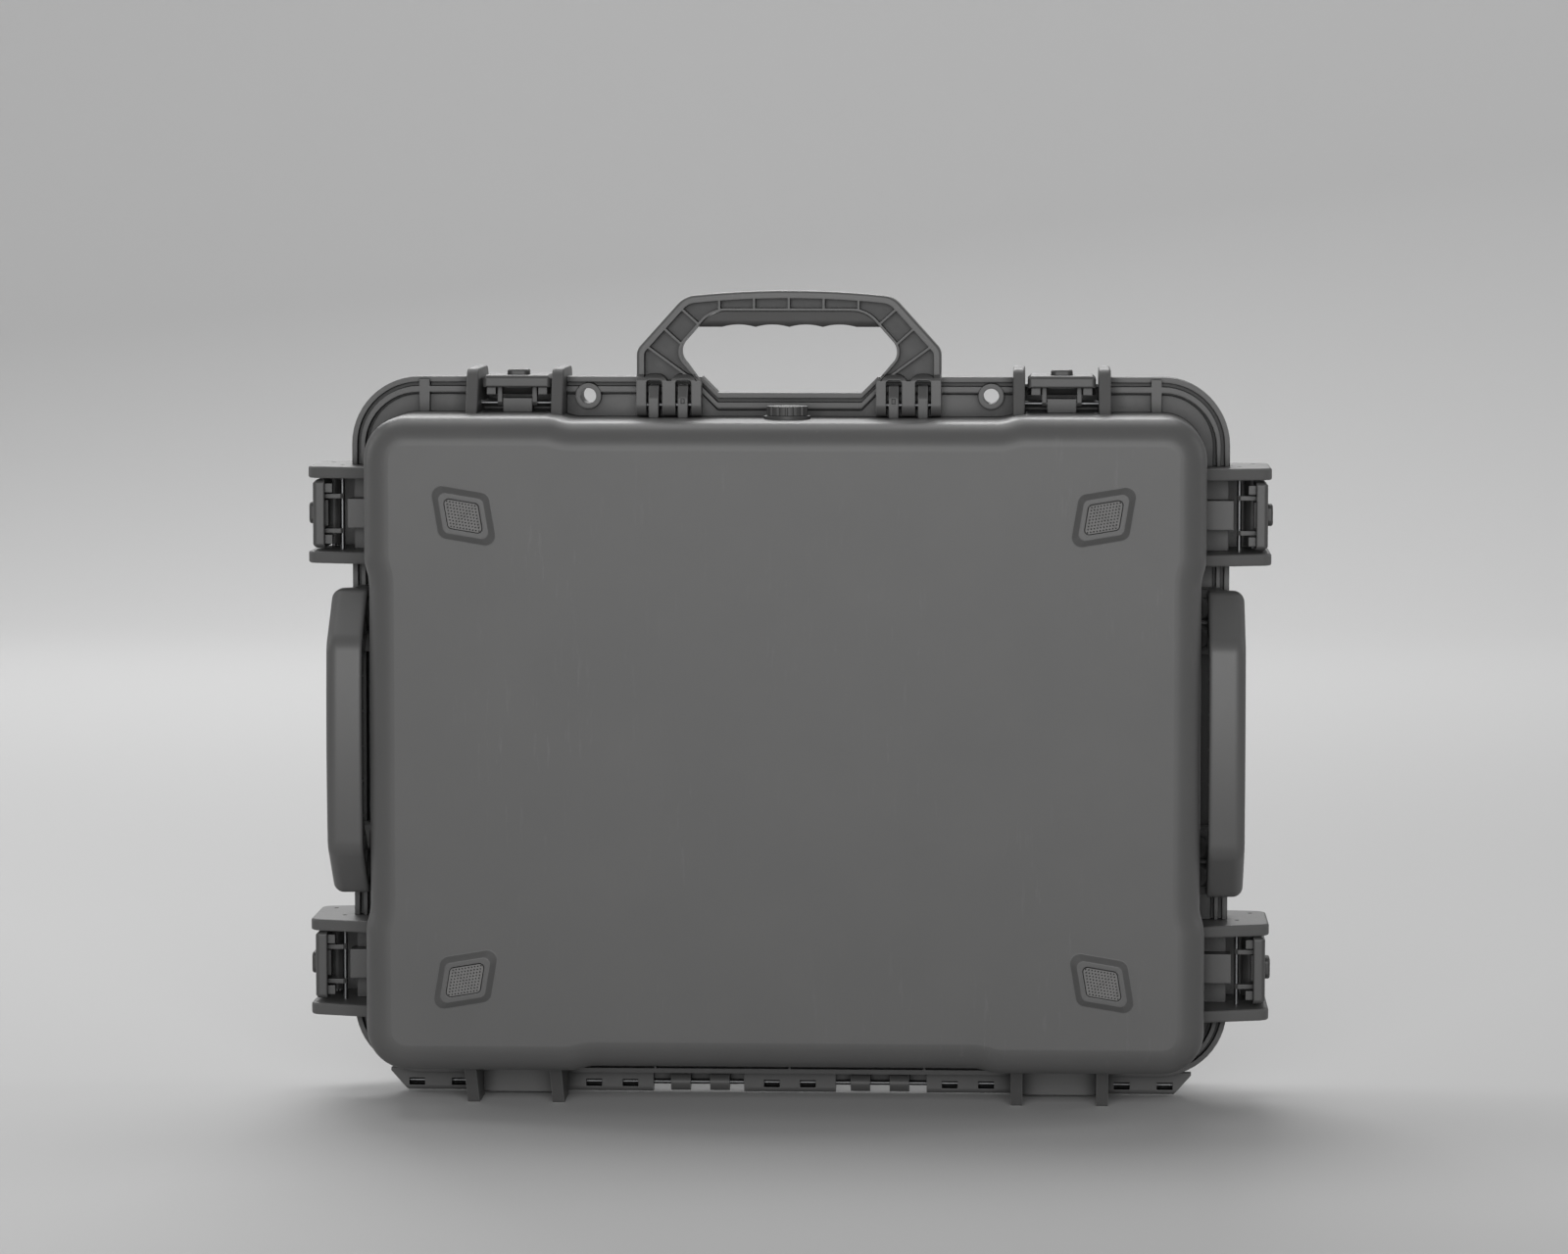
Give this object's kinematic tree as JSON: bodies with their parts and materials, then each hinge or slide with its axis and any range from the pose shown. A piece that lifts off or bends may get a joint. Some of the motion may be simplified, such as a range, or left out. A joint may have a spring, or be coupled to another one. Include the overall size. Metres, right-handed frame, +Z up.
{
  "type": "laptop hard case",
  "caption": "Hard protective case for a laptop: ribbed base and hinged lid with push-button latches, folding handles, pressure valve, padlock rings and foam",
  "frame": {"origin": "On the surface the case stands on, at the middle of its width and depth (bottom centre of the bounding box)", "axes": "+X to the right across the width when looking at the base's underside, +Y from the base's underside to the lid's face, +Z up from the hinge side to the carrying handle"},
  "size_m": [0.6036, 0.1656, 0.5077],
  "materials": {
    "shell_plastic": "fine-grained moulded polypropylene copolymer, dark grey",
    "handle_plastic": "fine-grained moulded plastic, dark grey",
    "latch_plastic": "moulded plastic, dark grey, slightly smoother on the crown",
    "button_plastic": "moulded plastic, darker grey",
    "valve_plastic": "moulded plastic, dark grey",
    "steel": "drawn stainless steel",
    "grip_rubber": "overmoulded soft grip, matt",
    "foot_rubber": "ribbed rubber foot pad, matt",
    "seal_rubber": "soft black seal",
    "foam": "open-cell charcoal foam"
  },
  "bodies": {
    "base": {"base_shell": "shell_plastic", "hinge_pin": "steel", "keeper_rods": "steel", "handle_pins": "steel", "foot_pad_1": "foot_rubber", "foot_pad_2": "foot_rubber", "foot_pad_3": "foot_rubber", "foot_pad_4": "foot_rubber", "valve_body": "valve_plastic", "valve_seal": "seal_rubber", "valve_nut": "valve_plastic", "valve_membrane": "seal_rubber", "base_pad": "foam", "base_foam": "foam"},
    "lid": {"lid_shell": "shell_plastic", "lid_gasket": "seal_rubber", "lid_foam": "foam", "lever_pins": "steel"},
    "valve_knob": {"valve_knob": "valve_plastic"},
    "handle_front": {"front_handle_frame": "handle_plastic", "front_handle_grip": "grip_rubber"},
    "handle_left": {"left_handle_frame": "handle_plastic", "left_handle_grip": "grip_rubber"},
    "handle_right": {"right_handle_frame": "handle_plastic", "right_handle_grip": "grip_rubber"},
    "latch_front_left": {"latch_lever_front_left": "latch_plastic", "button_spring_front_left": "steel"},
    "release_front_left": {"release_button_front_left": "button_plastic"},
    "latch_front_right": {"latch_lever_front_right": "latch_plastic", "button_spring_front_right": "steel"},
    "release_front_right": {"release_button_front_right": "button_plastic"},
    "latch_left_upper": {"latch_lever_left_upper": "latch_plastic", "button_spring_left_upper": "steel"},
    "release_left_upper": {"release_button_left_upper": "button_plastic"},
    "latch_left_lower": {"latch_lever_left_lower": "latch_plastic", "button_spring_left_lower": "steel"},
    "release_left_lower": {"release_button_left_lower": "button_plastic"},
    "latch_right_upper": {"latch_lever_right_upper": "latch_plastic", "button_spring_right_upper": "steel"},
    "release_right_upper": {"release_button_right_upper": "button_plastic"},
    "latch_right_lower": {"latch_lever_right_lower": "latch_plastic", "button_spring_right_lower": "steel"},
    "release_right_lower": {"release_button_right_lower": "button_plastic"}
  },
  "joints": [
    {"name": "lid_hinge", "type": "hinge", "parent": "base", "child": "lid", "pos_m": [0, 0.0268, 0.0066], "axis": [-1, 0, 0], "range_deg": [0, 105]},
    {"name": "handle_front_fold", "type": "hinge", "parent": "base", "child": "handle_front", "pos_m": [0, 0.0058, 0.4365], "axis": [1, 0, 0], "range_deg": [0, 90]},
    {"name": "handle_left_fold", "type": "hinge", "parent": "base", "child": "handle_left", "pos_m": [-0.2631, 0.0058, 0.22795], "axis": [0, 0, -1], "range_deg": [0, 90]},
    {"name": "handle_right_fold", "type": "hinge", "parent": "base", "child": "handle_right", "pos_m": [0.2631, 0.0058, 0.22795], "axis": [0, 0, 1], "range_deg": [0, 90]},
    {"name": "latch_front_left_turn", "type": "hinge", "parent": "lid", "child": "latch_front_left", "pos_m": [-0.17, 0.0468, 0.44695], "axis": [-1, 0, 0], "range_deg": [0, 100]},
    {"name": "release_front_left_push", "type": "slide", "parent": "latch_front_left", "child": "release_front_left", "axis": [0, 0, -1], "range_m": [0, 0.002], "stiffness_N_per_m": 800, "deforming": ["button_spring_front_left"]},
    {"name": "latch_front_right_turn", "type": "hinge", "parent": "lid", "child": "latch_front_right", "pos_m": [0.17, 0.0468, 0.44695], "axis": [-1, 0, 0], "range_deg": [0, 100]},
    {"name": "release_front_right_push", "type": "slide", "parent": "latch_front_right", "child": "release_front_right", "axis": [0, 0, -1], "range_m": [0, 0.002], "stiffness_N_per_m": 800, "deforming": ["button_spring_front_right"]},
    {"name": "latch_left_upper_turn", "type": "hinge", "parent": "lid", "child": "latch_left_upper", "pos_m": [-0.2904, 0.0468, 0.36795], "axis": [0, 0, -1], "range_deg": [0, 100]},
    {"name": "release_left_upper_push", "type": "slide", "parent": "latch_left_upper", "child": "release_left_upper", "axis": [1, 0, 0], "range_m": [0, 0.002], "stiffness_N_per_m": 800, "deforming": ["button_spring_left_upper"]},
    {"name": "latch_left_lower_turn", "type": "hinge", "parent": "lid", "child": "latch_left_lower", "pos_m": [-0.2904, 0.0468, 0.08315], "axis": [0, 0, -1], "range_deg": [0, 100]},
    {"name": "release_left_lower_push", "type": "slide", "parent": "latch_left_lower", "child": "release_left_lower", "axis": [1, 0, 0], "range_m": [0, 0.002], "stiffness_N_per_m": 800, "deforming": ["button_spring_left_lower"]},
    {"name": "latch_right_upper_turn", "type": "hinge", "parent": "lid", "child": "latch_right_upper", "pos_m": [0.2904, 0.0468, 0.36795], "axis": [0, 0, 1], "range_deg": [0, 100]},
    {"name": "release_right_upper_push", "type": "slide", "parent": "latch_right_upper", "child": "release_right_upper", "axis": [-1, 0, 0], "range_m": [0, 0.002], "stiffness_N_per_m": 800, "deforming": ["button_spring_right_upper"]},
    {"name": "latch_right_lower_turn", "type": "hinge", "parent": "lid", "child": "latch_right_lower", "pos_m": [0.2904, 0.0468, 0.08315], "axis": [0, 0, 1], "range_deg": [0, 100]},
    {"name": "release_right_lower_push", "type": "slide", "parent": "latch_right_lower", "child": "release_right_lower", "axis": [-1, 0, 0], "range_m": [0, 0.002], "stiffness_N_per_m": 800, "deforming": ["button_spring_right_lower"]},
    {"name": "valve_turn", "type": "hinge", "parent": "base", "child": "valve_knob", "pos_m": [0, -0.0182, 0.4315], "axis": [0, 0, 1], "range_deg": [0, 180]}
  ]
}
